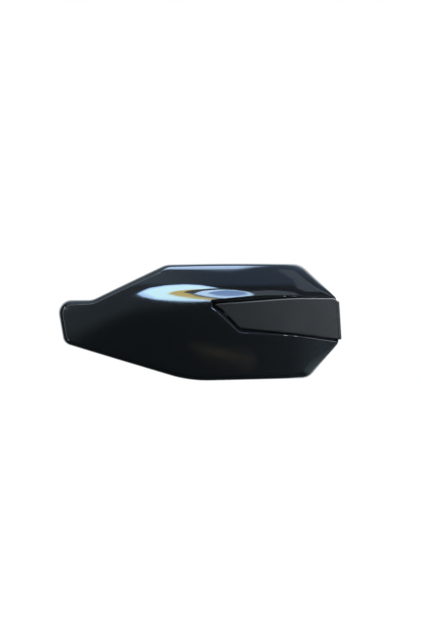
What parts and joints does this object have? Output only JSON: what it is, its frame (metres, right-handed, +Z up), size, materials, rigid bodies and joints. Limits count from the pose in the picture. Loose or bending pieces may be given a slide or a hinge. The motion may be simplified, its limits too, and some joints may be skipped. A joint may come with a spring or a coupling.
{
  "type": "motorcycle hand guard",
  "caption": "Left-hand motorcycle hand guard: gloss crowned shell with a satin wedge insert, rubber-mounted on a steel stay with a handlebar clamp.",
  "frame": {"origin": "middle of the clamp's bore, on the handlebar's axis", "axes": "+X along the handlebar towards its free end, -Y towards the road ahead (the guard's face), +Z up"},
  "size_m": [0.2749, 0.1153, 0.1127],
  "materials": {
    "shell_gloss": "polished moulding",
    "insert_satin": "fine satin texture",
    "stay_coated": "satin powder coat on steel",
    "zinc_steel": "bright zinc plate",
    "insert_brass": "turned",
    "grommet_rubber": "matt",
    "clamp_alloy": "dark anodised"
  },
  "bodies": {
    "root": {"outer_shell": "shell_gloss", "matte_insert": "insert_satin", "insert_screw_1": "zinc_steel", "insert_screw_2": "zinc_steel", "insert_screw_3": "zinc_steel", "insert_washer_1": "zinc_steel", "insert_washer_2": "zinc_steel", "insert_washer_3": "zinc_steel", "boss_nut_1": "insert_brass", "boss_nut_2": "insert_brass", "boss_nut_3": "insert_brass", "stay_collar_1": "zinc_steel", "stay_collar_2": "zinc_steel", "stay_collar_3": "zinc_steel", "stay_grommet_1": "grommet_rubber", "stay_grommet_2": "grommet_rubber", "stay_grommet_3": "grommet_rubber", "stay_bolt_1": "zinc_steel", "stay_bolt_2": "zinc_steel", "stay_bolt_3": "zinc_steel", "mounting_stay": "stay_coated", "clamp_body": "clamp_alloy", "clamp_cap": "clamp_alloy", "clamp_screw_1": "zinc_steel", "clamp_screw_2": "zinc_steel", "clamp_washer_1": "zinc_steel", "clamp_washer_2": "zinc_steel", "pivot_bolt": "zinc_steel", "pivot_washer": "zinc_steel", "pivot_nut": "zinc_steel"}
  },
  "joints": []
}
